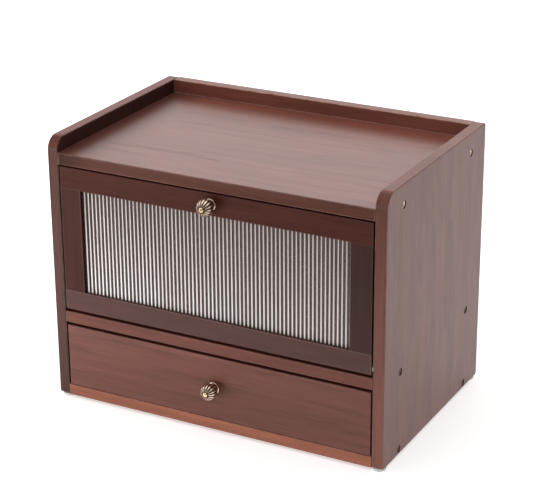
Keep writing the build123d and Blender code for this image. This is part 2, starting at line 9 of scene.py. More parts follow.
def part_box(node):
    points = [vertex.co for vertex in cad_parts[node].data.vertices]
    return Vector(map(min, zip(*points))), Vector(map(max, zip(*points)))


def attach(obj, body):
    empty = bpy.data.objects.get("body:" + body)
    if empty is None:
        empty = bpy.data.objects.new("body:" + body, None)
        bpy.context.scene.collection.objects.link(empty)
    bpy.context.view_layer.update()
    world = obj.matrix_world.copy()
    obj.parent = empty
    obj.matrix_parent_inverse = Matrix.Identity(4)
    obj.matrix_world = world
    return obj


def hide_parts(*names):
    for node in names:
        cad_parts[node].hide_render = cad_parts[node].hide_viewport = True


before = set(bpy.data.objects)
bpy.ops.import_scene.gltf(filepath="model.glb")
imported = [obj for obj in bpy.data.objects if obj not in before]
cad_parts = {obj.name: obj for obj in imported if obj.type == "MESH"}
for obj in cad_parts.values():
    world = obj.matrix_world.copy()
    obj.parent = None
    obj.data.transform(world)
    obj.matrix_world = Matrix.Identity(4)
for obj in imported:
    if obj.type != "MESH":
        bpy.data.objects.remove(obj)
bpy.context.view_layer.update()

MM = 0.001

# ---- camera: where the photograph was taken from ----
CAMERA_PLACE = Vector((0.8017, -1.4934, 0.8453))
CAMERA_YAW = math.radians(-28.17)  # turned to the left of +Y
CAMERA_PITCH = math.radians(-22.13)
CAMERA_ROLL = math.radians(-0.43)
CAMERA_LENS = 122.9
SENSOR_WIDTH = 36.0

# ---- knob profile: reach in front of the wood, and radius from the knob's axis ----
COLLAR_RADIUS = 6.2 * MM
COLLAR_BEAD = 0.5 * MM
NECK_RADIUS = 4.6 * MM
NECK_START = 2.1 * MM
BODY_START = 2.8 * MM
BODY_END = 16.6 * MM
BODY_RADIUS = 8.7 * MM
MOUTH_RADIUS = 4.3 * MM
RING_RADIUS = 3.5 * MM
RING_DEPTH = 0.9 * MM
BUTTON_RADIUS = 2.6 * MM
BUTTON_REACH = 18.4 * MM
DIMPLE_RADIUS = 0.75 * MM
DIMPLE_DEPTH = 0.3 * MM
LOBES = 16
SIDES_PER_LOBE = 8
BODY_STEPS = 18
BUTTON_STEPS = 6
RUBBED = -0.6  # mark of the button, rubbed down to bare brass
CREASE_SHARE = 0.165  # depth of a crease, as a share of the radius there

# ---- screws ----
SCREW_SIDES = 32
CASE_SCREW_INSET = 37.0 * MM  # from the front and back edges of a side panel
CASE_SCREW_SINK = 1.0 * MM
CASE_HEAD_RADIUS = 3.8 * MM
CASE_SHANK_RADIUS = 2.0 * MM
CASE_SCREW_LENGTH = 40.0 * MM
SMALL_HEAD_RADIUS = 2.8 * MM
SMALL_SHANK_RADIUS = 1.4 * MM
SMALL_SCREW_LENGTH = 18.0 * MM
DRAWER_SCREW_MARGIN = 12.0 * MM  # from the drawer's bottom panel and from the top of its back
PAN_HEAD_RADIUS = 4.0 * MM
PAN_HEAD_HEIGHT = 2.4 * MM
PAN_SHANK_RADIUS = 2.0 * MM
PAN_HEAD_STEPS = 5
CROSS_ARM = 0.24  # width of a cross recess's arm, as a share of its span
CROSS_TAPER = 0.45  # size of the recess at its bottom, as a share of its mouth

# ---- reeds of the pane and their painted highlights ----
REED_COUNT = 70
REED_HEIGHT = 0.7 * MM
HIGHLIGHT_MIDDLE = 0.70  # where the painted highlight on a reed's flank lies, as a share of its width
HIGHLIGHT_HALF_WIDTH = (0.175, 0.145)  # at the foot and at the top of the pane
HIGHLIGHT_BLUR = 0.03
HIGHLIGHT_COVER = 0.95
GROUND_COVER = (0.32, 0.48)  # how much the clear part of a reed veils, at the left and the right
# colours of the painted highlights: bright at the foot, dimmer at the top and towards the right
HIGHLIGHT_FOOT = (0.90, 0.87, 0.85, 1)
HIGHLIGHT_TOP = (0.46, 0.40, 0.385, 1)
HIGHLIGHT_RIGHT = (0.46, 0.40, 0.38, 1)
HIGHLIGHT_RIGHT_SHARE = 0.45
PANE_GROUND = (0.12, 0.08, 0.072, 1)
ACRYLIC_IOR = 1.49

# ---- stage ----
FLOOR_SIZE = 14.0
TABLE_GLOW = 0.55  # light that the table lets through from below
FLAG_START = 0.45  # in front of the origin
FLAG_DEPTH = 2.4
FLAG_WIDTH = 4.0
SURROUND_COLOUR = (1.0, 0.99, 0.98, 1)
SURROUND_STRENGTH = 0.35
LAMPS = (  # name, place, aim, width, height, radiance, whether shiny pieces mirror it
    ("overhead_softbox", (-0.15, -0.1, 1.5), (0, 0, 0), 1.7, 1.7, 1.0, True),
    ("rear_softbox", (-0.85, 1.55, 0.75), (0, 0, 0.2), 2.6, 1.4, 1.4, True),
    ("left_softbox", (-1.7, -0.1, 0.8), (0, 0, 0.2), 1.4, 0.9, 2.0, True),
    ("front_softbox", (-1.0, -1.4, 0.24), (0, 0, 0.2), 1.2, 0.44, 2.4, True),
    ("table_glow", (-0.45, -0.5, 0.02), (-0.35, -0.4, 1.0), 0.8, 0.6, 8.0, False),
    ("side_softbox", (1.6, 0.9, 1.1), (0.3, 0.3, 0), 1.4, 1.0, 0.9, True),
)


# ------------------------------------------------------------------ node helpers
def place_node(tree, kind, inputs=None, **settings):
    """Adds a node, applies its settings, and sets or links its inputs."""
    made = tree.nodes.new(kind)
    for setting, value in settings.items():
        setattr(made, setting, value)
    for key, value in (inputs or {}).items():
        if isinstance(value, bpy.types.NodeSocket):
            tree.links.new(value, made.inputs[key])
        else:
            made.inputs[key].default_value = value
    return made


def reckon(tree, operation, *values, clamp=False):
    """The result of a Math node."""
    return place_node(
        tree, "ShaderNodeMath", dict(enumerate(values)), operation=operation, use_clamp=clamp
    ).outputs[0]


def centred(tree, value):
    """A value from 0 to 1 moved to lie round 0."""
    return reckon(tree, "SUBTRACT", value, 0.5)


def reckon_vector(tree, operation, *values):
    """The result of a Vector Math node."""
    inputs = dict(enumerate(values))
    return place_node(tree, "ShaderNodeVectorMath", inputs, operation=operation).outputs[0]


def scale_colour(tree, colour, share):
    """A colour made lighter or darker by a share."""
    inputs = {0: colour, "Scale": share}
    return place_node(tree, "ShaderNodeVectorMath", inputs, operation="SCALE").outputs[0]


def remap(tree, value, low, high, to_low=0.0, to_high=1.0, smooth=False):
    """A value taken from one range to another, and held at its ends."""
    return place_node(
        tree,
        "ShaderNodeMapRange",
        {"Value": value, "From Min": low, "From Max": high, "To Min": to_low, "To Max": to_high},
        interpolation_type="SMOOTHSTEP" if smooth else "LINEAR",
    ).outputs[0]


def blend_colours(tree, share, first, second):
    """Two colours mixed by a share."""
    mix = place_node(tree, "ShaderNodeMix", {0: share}, data_type="RGBA")
    for socket, colour in ((mix.inputs[6], first), (mix.inputs[7], second)):
        if isinstance(colour, bpy.types.NodeSocket):
            tree.links.new(colour, socket)
        else:
            socket.default_value = colour
    return mix.outputs[2]


def noise(tree, vector, scale, detail=2.0, roughness=0.5, distortion=0.0):
    """The value of a Noise texture."""
    return place_node(
        tree,
        "ShaderNodeTexNoise",
        {
            "Vector": vector,
            "Scale": scale,
            "Detail": detail,
            "Roughness": roughness,
            "Distortion": distortion,
        },
    ).outputs[0]


def new_group(name, inputs, outputs):
    """An empty shader group with named sockets."""
    group = bpy.data.node_groups.new(name, "ShaderNodeTree")
    for label, (kind, value) in inputs.items():
        socket = group.interface.new_socket(name=label, in_out="INPUT", socket_type=kind)
        socket.default_value = value
    for label, kind in outputs.items():
        group.interface.new_socket(name=label, in_out="OUTPUT", socket_type=kind)
    given = group.nodes.new("NodeGroupInput").outputs
    result = group.nodes.new("NodeGroupOutput").inputs
    return group, given, result


def use_group(tree, group, inputs):
    """Places a group in a material and returns its outputs."""
    made = tree.nodes.new("ShaderNodeGroup")
    made.node_tree = group
    for key, value in inputs.items():
        if isinstance(value, bpy.types.NodeSocket):
            tree.links.new(value, made.inputs[key])
        else:
            made.inputs[key].default_value = value
    return made.outputs


VALUE = "NodeSocketFloat"
COLOUR = "NodeSocketColor"
VECTOR = "NodeSocketVector"


# ------------------------------------------------------------------ shared effects
FIBRE_SCALE = 1100.0  # pores, streaks, growth rings and slow drift of tone, from fine to coarse
STREAK_SCALE = 170.0
RING_SCALE = 24.0
DRIFT_SCALE = 16.0
GRAIN_LIGHTNESS = 0.62  # between the deep and the pale colour
WOOD_ROUGHNESS = (0.44, 0.30)  # in a pore and beside it
SMUDGE_SCALE = 22.0
DUST_SCALE = 650.0
WAVER = 9.0 * MM  # how far a wisp strays from its straight course


def make_grain_group():
    """Stained wood with its fibres along X: pores, streaks, slow drift of tone, and growth rings."""
    group, given, result = new_group(
        "wood_grain",
        {
            "Place": (VECTOR, (0, 0, 0)),
            "Pale": (COLOUR, (0.3, 0.1, 0.07, 1)),
            "Deep": (COLOUR, (0.1, 0.03, 0.02, 1)),
            "Figure": (VALUE, 0.5),
        },
        {"Color": COLOUR, "Roughness": VALUE, "Height": VALUE},
    )
    stretch_fibre = reckon_vector(group, "MULTIPLY", given["Place"], (0.03, 1.0, 1.0))
    stretch_streak = reckon_vector(group, "MULTIPLY", given["Place"], (0.07, 1.0, 1.0))
    stretch_drift = reckon_vector(group, "MULTIPLY", given["Place"], (0.3, 1.0, 1.0))
    fibre = noise(group, stretch_fibre, FIBRE_SCALE, 4.0, 0.65)
    streak = noise(group, stretch_streak, STREAK_SCALE, 5.0, 0.6, 0.3)
    drift = noise(group, stretch_drift, DRIFT_SCALE, 3.0, 0.5)
    rings = place_node(
        group,
        "ShaderNodeTexWave",
        {
            "Vector": stretch_streak,
            "Scale": RING_SCALE,
            "Distortion": 5.0,
            "Detail": 3.0,
            "Detail Scale": 1.6,
        },
        wave_type="RINGS",
        rings_direction="X",
        wave_profile="SAW",
    ).outputs["Fac"]
    ring_lines = reckon(group, "POWER", rings, 3.0)
    patch = remap(group, drift, 0.42, 0.64, smooth=True)
    figure = reckon(group, "MULTIPLY", reckon(group, "MULTIPLY", ring_lines, patch), given["Figure"])
    tone = reckon(group, "MULTIPLY_ADD", centred(group, streak), 0.9, GRAIN_LIGHTNESS)
    tone = reckon(group, "MULTIPLY_ADD", centred(group, fibre), 0.7, tone)
    tone = reckon(group, "MULTIPLY_ADD", centred(group, drift), 0.9, tone)
    tone = reckon(group, "MULTIPLY_ADD", figure, -0.7, tone, clamp=True)
    colour = blend_colours(group, tone, given["Deep"], given["Pale"])
    group.links.new(colour, result["Color"])
    group.links.new(remap(group, fibre, 0.2, 0.8, *WOOD_ROUGHNESS), result["Roughness"])
    group.links.new(reckon(group, "MULTIPLY_ADD", streak, 0.4, fibre), result["Height"])
    return group


def make_wear_group():
    """A mask that is 1 along the edges of a board, broken up where hands and sanding were uneven."""
    group, given, result = new_group(
        "edge_wear",
        {
            "Place": (VECTOR, (0, 0, 0)),
            "Low": (VECTOR, (0, 0, 0)),
            "High": (VECTOR, (1, 1, 1)),
            "Width": (VALUE, 1.2 * MM),
        },
        {"Wear": VALUE},
    )
    from_low = reckon_vector(group, "SUBTRACT", given["Place"], given["Low"])
    from_high = reckon_vector(group, "SUBTRACT", given["High"], given["Place"])
    nearest = reckon_vector(group, "MINIMUM", from_low, from_high)
    parts = place_node(group, "ShaderNodeSeparateXYZ", {0: nearest}).outputs
    least = reckon(group, "MINIMUM", reckon(group, "MINIMUM", parts[0], parts[1]), parts[2])
    most = reckon(group, "MAXIMUM", reckon(group, "MAXIMUM", parts[0], parts[1]), parts[2])
    total = reckon(group, "ADD", reckon(group, "ADD", parts[0], parts[1]), parts[2])
    to_edge = reckon(group, "SUBTRACT", reckon(group, "SUBTRACT", total, least), most)
    uneven = noise(group, given["Place"], 90.0, 4.0, 0.7)
    reach = reckon(group, "MULTIPLY", given["Width"], reckon(group, "MULTIPLY_ADD", uneven, 3.0, -0.6))
    share = reckon(group, "DIVIDE", to_edge, reckon(group, "MAXIMUM", reach, 0.05 * MM))
    group.links.new(remap(group, share, 0.3, 1.0, 1.0, 0.0, smooth=True), result["Wear"])
    return group


def make_handling_group():
    """Soft smudges and fine dust that change how a surface shines."""
    group, given, result = new_group(
        "handling",
        {"Place": (VECTOR, (0, 0, 0)), "Amount": (VALUE, 0.06)},
        {"Gloss": VALUE, "Specks": VALUE},
    )
    cloud = noise(group, given["Place"], SMUDGE_SCALE, 4.0, 0.6)
    speck = noise(group, given["Place"], DUST_SCALE, 1.0, 0.4)
    gloss = reckon(group, "MULTIPLY", centred(group, cloud), given["Amount"])
    group.links.new(gloss, result["Gloss"])
    group.links.new(remap(group, speck, 0.68, 0.8), result["Specks"])
    return group


def make_wisp_group():
    """A mask of one thin wavering line in the grain, which runs along X from one point to another."""
    group, given, result = new_group(
        "grain_wisp",
        {
            "Place": (VECTOR, (0, 0, 0)),
            "From": (VECTOR, (0, 0, 0)),
            "To": (VECTOR, (1, 0, 0)),
            "Width": (VALUE, 1.0 * MM),
        },
        {"Mask": VALUE},
    )
    place = place_node(group, "ShaderNodeSeparateXYZ", {0: given["Place"]}).outputs
    start = place_node(group, "ShaderNodeSeparateXYZ", {0: given["From"]}).outputs
    end = place_node(group, "ShaderNodeSeparateXYZ", {0: given["To"]}).outputs
    run = reckon(group, "SUBTRACT", end[0], start[0])
    along = reckon(group, "DIVIDE", reckon(group, "SUBTRACT", place[0], start[0]), run)
    aside = reckon(group, "SUBTRACT", end[1], start[1])
    line = reckon(group, "MULTIPLY_ADD", aside, along, start[1])
    course = place_node(group, "ShaderNodeCombineXYZ", {0: place[0]}).outputs[0]
    waver = reckon(group, "MULTIPLY", centred(group, noise(group, course, 45.0, 3.0)), WAVER)
    middle = reckon(group, "ADD", line, waver)
    offset = reckon(group, "ABSOLUTE", reckon(group, "SUBTRACT", place[1], middle))
    offset_share = reckon(group, "DIVIDE", offset, given["Width"])
    thin = remap(group, offset_share, 0.2, 1.0, 1.0, 0.0, smooth=True)
    from_middle = reckon(group, "ABSOLUTE", centred(group, along))
    ends = remap(group, from_middle, 0.25, 0.5, 1.0, 0.0, smooth=True)
    broken = remap(group, noise(group, course, 120.0, 3.0, 0.7), 0.3, 0.6, 0.3, 1.0)
    mask = reckon(group, "MULTIPLY", reckon(group, "MULTIPLY", thin, ends), broken)
    group.links.new(mask, result["Mask"])
    return group


GRAIN = make_grain_group()
WEAR = make_wear_group()
HANDLING = make_handling_group()
WISP = make_wisp_group()


# ------------------------------------------------------------------ materials
def new_material(name):
    """A material with its tree, its Principled shader and its Object coordinates."""
    material = bpy.data.materials.new(name)
    material.use_nodes = True
    tree = material.node_tree
    tree.nodes.clear()
    shader = tree.nodes.new("ShaderNodeBsdfPrincipled")
    output = tree.nodes.new("ShaderNodeOutputMaterial")
    tree.links.new(shader.outputs[0], output.inputs[0])
    coordinates = tree.nodes.new("ShaderNodeTexCoord").outputs["Object"]
    return material, tree, shader, coordinates


def add_bump(tree, shader, height, distance, strength=1.0):
    """Feeds a height to the shader's normal."""
    bump = place_node(
        tree, "ShaderNodeBump", {"Height": height, "Distance": distance, "Strength": strength}
    )
    tree.links.new(bump.outputs[0], shader.inputs["Normal"])


# turns that bring the fibres of a board from its own direction to X
ALONG = {"X": (0, 0, 0), "Y": (0, 0, math.radians(-90)), "Z": (0, math.radians(90), 0)}
STAIN_HUE = (1.0, 0.335, 0.235)
WORN_HUE = (1.0, 0.55, 0.45)  # paler stain where an edge is rubbed
WORN_TONE = 1.9  # tones of a rubbed edge and of a wisp, as shares of the board's own
WISP_TONE = 0.35
CONTRAST = 0.52
COAT_ROUGHNESS = 0.3
SKIN = 0.6 * MM  # how deep the tone or polish of one face reaches into a board
LEFT_SHADE_WIDTH = 50 * MM  # how far the painted shade of the left side panel reaches in from the left end of a board
FACES = {  # axis, and which end of it
    "left": (0, 0),
    "right": (0, 1),
    "front": (1, 0),
    "back": (1, 1),
    "under": (2, 0),
    "top": (2, 1),
}
# what a board has where its own look doesn't say otherwise
PLAIN_LOOK = dict(
    faces={}, polish={}, shine=0.4, hue=STAIN_HUE, wear=0.3, spread=1.0, wisps=(), left_end_shade=1.0
)
SHEET_ROUGHNESS = 0.58


def stain(tone, hue=STAIN_HUE):
    """Stain colour of a given lightness."""
    return (tone * hue[0], tone * hue[1], tone * hue[2], 1.0)


def on_face(tree, parts, box, face, behind, on):
    """A value that is one thing on a face of a board and another behind its skin."""
    axis, end = FACES[face]
    surface = box[end][axis]
    inward = SKIN if end == 0 else -SKIN
    return remap(tree, parts[axis], surface + inward, surface + 2 * inward, on, behind)


def board_grain(tree, coordinates, look):
    """The grain of a board, along its own direction and in its own tone."""
    tone, hue = look["tone"], look["hue"]
    turned = place_node(
        tree,
        "ShaderNodeMapping",
        {
            "Vector": coordinates,
            "Location": look["shift"],
            "Rotation": ALONG[look["grain"]],
            "Scale": (1, look["spread"], 1),
        },
    ).outputs[0]
    pale, deep = stain(tone * (1 + CONTRAST / 2), hue), stain(tone * (1 - CONTRAST), hue)
    return use_group(tree, GRAIN, {"Place": turned, "Pale": pale, "Deep": deep})


def tone_faces(tree, parts, box, colour, look):
    """Gives faces their tones from foot to top; some are the wood's, some are painted light and shade.
    """
    for face, tones in look["faces"].items():
        foot, head = (own / look["tone"] for own in tones)
        rising = remap(tree, parts[2], box[0].z, box[1].z, foot, head)
        colour = scale_colour(tree, colour, on_face(tree, parts, box, face, 1.0, rising))
    return colour


def mask_wisps(tree, coordinates, wisps):
    """A mask of a board's dark lines, each given as (from, to, width, strength)."""
    lines = 0.0
    for start, end, width, strength in wisps:
        given = {"Place": coordinates, "From": start, "To": end, "Width": width}
        line = use_group(tree, WISP, given)
        lines = reckon(tree, "MULTIPLY_ADD", line["Mask"], strength, lines, clamp=True)
    return lines


def polish_faces(tree, parts, box, polish):
    """How much shiny coat lies on a board: none but on its polished faces."""
    coat = 0.0
    for face, weight in polish.items():
        coat = reckon(tree, "MAXIMUM", on_face(tree, parts, box, face, 0.0, weight), coat)
    return coat


def stained_wood(node, own_look):
    """Dark reddish brown stain under a thin satin lacquer on one board.

    Where a board has wisps it is darker and duller. It may carry painted shade along its left end, cast
    by the left side panel, and its edges are rubbed.
    """
    look = PLAIN_LOOK | own_look
    tone, hue = look["tone"], look["hue"]
    material, tree, shader, coordinates = new_material("wood_" + node)
    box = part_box(node)
    parts = place_node(tree, "ShaderNodeSeparateXYZ", {0: coordinates}).outputs
    wood = board_grain(tree, coordinates, look)
    worn = use_group(tree, WEAR, {"Place": coordinates, "Low": box[0], "High": box[1]})
    handled = use_group(tree, HANDLING, {"Place": coordinates})
    colour = tone_faces(tree, parts, box, wood["Color"], look)
    lines = mask_wisps(tree, coordinates, look["wisps"])
    colour = blend_colours(tree, lines, colour, stain(tone * WISP_TONE, hue))
    # painted shade along the left end, cast by the left side panel
    left_shade_end = box[0].x + LEFT_SHADE_WIDTH
    left_shade = remap(tree, parts[0], box[0].x, left_shade_end, look["left_end_shade"], 1.0, smooth=True)
    colour = scale_colour(tree, colour, left_shade)
    share = reckon(tree, "MULTIPLY", worn["Wear"], look["wear"])
    colour = blend_colours(tree, share, colour, stain(tone * WORN_TONE, WORN_HUE))
    tree.links.new(colour, shader.inputs["Base Color"])
    rough = reckon(tree, "ADD", wood["Roughness"], handled["Gloss"])
    tree.links.new(rough, shader.inputs["Roughness"])
    shader.inputs["Specular IOR Level"].default_value = look["shine"]
    shader.inputs["Coat Roughness"].default_value = COAT_ROUGHNESS
    coat = polish_faces(tree, parts, box, look["polish"])
    dulled = reckon(tree, "SUBTRACT", 1.0, lines)
    tree.links.new(reckon(tree, "MULTIPLY", coat, dulled), shader.inputs["Coat Weight"])
    add_bump(tree, shader, wood["Height"], 0.05 * MM, 0.35)
    return material


def thin_sheet(name, grain, tone, shift):
    """Thin stained panel, matt, with a fine even grain."""
    material, tree, shader, coordinates = new_material(name)
    turned = place_node(
        tree, "ShaderNodeMapping", {"Vector": coordinates, "Location": shift, "Rotation": ALONG[grain]}
    ).outputs[0]
    pale, deep = stain(tone * 1.2), stain(tone * 0.6)
    wood = use_group(tree, GRAIN, {"Place": turned, "Pale": pale, "Deep": deep, "Figure": 0.8})
    handled = use_group(tree, HANDLING, {"Place": coordinates, "Amount": 0.12})
    tree.links.new(wood["Color"], shader.inputs["Base Color"])
    rough = reckon(tree, "ADD", handled["Gloss"], SHEET_ROUGHNESS)
    tree.links.new(rough, shader.inputs["Roughness"])
    add_bump(tree, shader, wood["Height"], 0.06 * MM, 0.5)
    return material


def reeded_acrylic(name, node):
    """Clear acrylic whose reeds each carry a painted highlight on one flank, dimmer at the top and
    right.
    """
    material, tree, shader, coordinates = new_material(name)
    low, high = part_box(node)
    parts = place_node(tree, "ShaderNodeSeparateXYZ", {0: coordinates}).outputs
    across = remap(tree, parts[0], low.x, high.x, 0.0, float(REED_COUNT))
    phase = reckon(tree, "FRACT", across)
    from_middle = reckon(tree, "ABSOLUTE", reckon(tree, "SUBTRACT", phase, HIGHLIGHT_MIDDLE))
    handled = use_group(tree, HANDLING, {"Place": coordinates, "Amount": 0.1})
    squeezed = reckon_vector(tree, "MULTIPLY", coordinates, (6.0, 1.0, 1.0))
    milky = noise(tree, squeezed, 9.0, 3.0, 0.6)
    cloud = reckon(tree, "MULTIPLY", centred(tree, milky), 0.6)
    rise = reckon(tree, "ADD", remap(tree, parts[2], low.z, high.z), cloud, clamp=True)
    aside = reckon(tree, "ADD", remap(tree, parts[0], low.x, high.x), cloud, clamp=True)
    half_width = remap(tree, rise, 0.0, 1.0, *HIGHLIGHT_HALF_WIDTH)
    from_rim = reckon(tree, "SUBTRACT", half_width, from_middle)
    # a painted highlight along one flank of each reed
    painted_highlight = remap(tree, from_rim, -HIGHLIGHT_BLUR, HIGHLIGHT_BLUR, smooth=True)
    on_reeds = remap(tree, parts[1], low.y + REED_HEIGHT, low.y + 2 * REED_HEIGHT, 1.0, 0.0)
    painted_highlight = reckon(tree, "MULTIPLY", painted_highlight, on_reeds)
    flank = blend_colours(tree, rise, HIGHLIGHT_FOOT, HIGHLIGHT_TOP)
    to_right = reckon(tree, "MULTIPLY", aside, HIGHLIGHT_RIGHT_SHARE)
    flank = blend_colours(tree, to_right, flank, HIGHLIGHT_RIGHT)
    tree.links.new(blend_colours(tree, painted_highlight, PANE_GROUND, flank), shader.inputs["Base Color"])
    cover = remap(tree, aside, 0.0, 1.0, *GROUND_COVER)
    to_highlight = reckon(tree, "SUBTRACT", HIGHLIGHT_COVER, cover)
    tree.links.new(reckon(tree, "MULTIPLY_ADD", painted_highlight, to_highlight, cover), shader.inputs["Alpha"])
    tree.links.new(reckon(tree, "ADD", handled["Gloss"], 0.2), shader.inputs["Roughness"])
    shader.inputs["IOR"].default_value = ACRYLIC_IOR
    return material


BRASS_CREST = (0.98, 0.79, 0.64, 1)
BRASS_BARE = (1.0, 0.78, 0.46, 1)
BRASS_PATINA = (0.11, 0.05, 0.035, 1)
SCRATCH_SCALE = 900.0
STEELS = {  # colour, shade and roughness
    "yellow_screw_steel": ((0.80, 0.70, 0.46), (0.62, 0.56, 0.44), 0.3),
    "bright_steel": ((0.75, 0.75, 0.74), (0.55, 0.55, 0.54), 0.28),
    "nickel_plate": ((0.78, 0.77, 0.74), (0.66, 0.65, 0.62), 0.18),
    # dark steel for the lower case screws: painted shade on their heads
    "screw_steel_painted_shade": ((0.20, 0.16, 0.11), (0.12, 0.10, 0.08), 0.42),
}
PAD_CLEAR = (0.78, 0.78, 0.76, 1)
PAD_CLOUD = (0.60, 0.59, 0.57, 1)
PAD_DUST = (0.4, 0.38, 0.36, 1)
BEECH_PALE = (0.62, 0.44, 0.28, 1)
BEECH_DEEP = (0.42, 0.27, 0.16, 1)


def antique_brass(name):
    """Aged brass: dark in the creases, rubbed bright on the crests."""
    material, tree, shader, coordinates = new_material(name)
    crease = place_node(tree, "ShaderNodeAttribute", attribute_name="crease").outputs["Fac"]
    cloud = noise(tree, coordinates, 700.0, 4.0, 0.65)
    soiled = reckon(tree, "ADD", crease, reckon(tree, "MULTIPLY_ADD", cloud, 0.5, -0.25))
    patina = remap(tree, soiled, 0.22, 0.62, smooth=True)
    bare = remap(tree, crease, RUBBED, RUBBED / 3, 1.0, 0.0)
    crest = blend_colours(tree, bare, BRASS_CREST, BRASS_BARE)
    colour = blend_colours(tree, patina, crest, BRASS_PATINA)
    tree.links.new(colour, shader.inputs["Base Color"])
    tree.links.new(remap(tree, patina, 0.0, 1.0, 0.22, 0.55), shader.inputs["Roughness"])
    shader.inputs["Metallic"].default_value = 1.0
    add_bump(tree, shader, cloud, 0.05 * MM, 0.35)
    return material


def plated_steel(name, colour, shade, rough):
    """Small steel part with a thin plating, a little uneven."""
    material, tree, shader, coordinates = new_material(name)
    cloud = noise(tree, coordinates, 420.0, 3.0, 0.6)
    turned = reckon_vector(tree, "MULTIPLY", coordinates, (1.0, 1.0, 0.1))
    scratch = noise(tree, turned, SCRATCH_SCALE, 2.0, 0.5)
    tree.links.new(
        blend_colours(tree, remap(tree, cloud, 0.35, 0.7), (*colour, 1), (*shade, 1)),
        shader.inputs["Base Color"],
    )
    scratched = remap(tree, scratch, 0.3, 0.7, rough - 0.06, rough + 0.1)
    tree.links.new(scratched, shader.inputs["Roughness"])
    shader.inputs["Metallic"].default_value = 1.0
    add_bump(tree, shader, scratch, 0.02 * MM, 0.3)
    return material


def clear_pad(name):
    """Soft clear pad, slightly cloudy, with dust on its flank."""
    material, tree, shader, coordinates = new_material(name)
    cloud = noise(tree, coordinates, 260.0, 3.0, 0.6)
    handled = use_group(tree, HANDLING, {"Place": coordinates, "Amount": 0.2})
    colour = blend_colours(tree, cloud, PAD_CLEAR, PAD_CLOUD)
    colour = blend_colours(tree, handled["Specks"], colour, PAD_DUST)
    tree.links.new(colour, shader.inputs["Base Color"])
    tree.links.new(remap(tree, cloud, 0.3, 0.7, 0.62, 0.82), shader.inputs["Alpha"])
    tree.links.new(reckon(tree, "ADD", handled["Gloss"], 0.3), shader.inputs["Roughness"])
    shader.inputs["Subsurface Weight"].default_value = 0.3
    shader.inputs["Subsurface Scale"].default_value = 2.0 * MM
    return material


def raw_beech(name):
    """Turned dowel of bare pale wood."""
    material, tree, shader, coordinates = new_material(name)
    turned = place_node(
        tree, "ShaderNodeMapping", {"Vector": coordinates, "Rotation": ALONG["Z"]}
    ).outputs[0]
    wood = use_group(
        tree, GRAIN, {"Place": turned, "Pale": BEECH_PALE, "Deep": BEECH_DEEP, "Figure": 0.3}
    )
    tree.links.new(wood["Color"], shader.inputs["Base Color"])
    shader.inputs["Roughness"].default_value = 0.7
    add_bump(tree, shader, wood["Height"], 0.08 * MM, 0.5)
    return material


# ------------------------------------------------------------------ modelling helpers
def start_mesh(name, add, **where):
    """Adds a primitive and opens it for editing, with nothing else selected."""
    bpy.ops.object.select_all(action="DESELECT")
    add(**where)
    piece = bpy.context.active_object
    piece.name = piece.data.name = name
    bpy.ops.object.mode_set(mode="EDIT")
    return piece


def close_mesh(piece, smooth_angle=math.radians(40)):
    """Leaves edit mode with normals outwards, puts the place into the mesh and smooths the rounds."""
    bpy.ops.mesh.select_all(action="SELECT")
    bpy.ops.mesh.normals_make_consistent(inside=False)
    bpy.ops.object.mode_set(mode="OBJECT")
    bpy.ops.object.transform_apply(location=True, rotation=True, scale=True)
    bpy.ops.object.shade_smooth_by_angle(angle=smooth_angle)
    return piece


def select_vertices(piece, wanted):
    """Selects the vertices, in edit mode, whose world place passes a test."""
    bpy.ops.object.mode_set(mode="OBJECT")
    for face in piece.data.polygons:
        face.select = False
    for edge in piece.data.edges:
        edge.select = False
    for vertex in piece.data.vertices:
        vertex.select = bool(wanted(piece.matrix_world @ vertex.co))
    bpy.ops.object.mode_set(mode="EDIT")
    bpy.ops.mesh.select_mode(type="VERT")


def copy_piece(piece, name, placement):
    """A copy with its own mesh, with its placement put into the mesh."""
    copy = piece.copy()
    copy.data = piece.data.copy()
    copy.name = copy.data.name = name
    copy.data.transform(placement)
    bpy.context.scene.collection.objects.link(copy)
    return copy


def dress(piece, material, body):
    """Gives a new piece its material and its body."""
    piece.data.materials.clear()
    piece.data.materials.append(material)
    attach(piece, body)


def arc(middle_reach, middle_radius, size, start, end, steps):
    """Points of a round stretch of a turned profile, angles in degrees from the outward radius."""
    points = []
    for step in range(steps + 1):
        angle = math.radians(start + (end - start) * step / steps)
        points.append((middle_reach + size * math.sin(angle), middle_radius + size * math.cos(angle)))
    return points


# ------------------------------------------------------------------ pumpkin knob
def body_profile():
    """The round section of the lobed body, from its neck to its mouth."""
    fullness = math.sqrt(1 - (MOUTH_RADIUS / BODY_RADIUS) ** 2)
    middle = (BODY_START + BODY_END) / 2
    half = (BODY_END - BODY_START) / 2
    points = []
    for step in range(BODY_STEPS + 1):
        turn = (2 * step / BODY_STEPS - 1) * math.asin(fullness)
        points.append((middle + half * math.sin(turn) / fullness, BODY_RADIUS * math.cos(turn)))
    return points


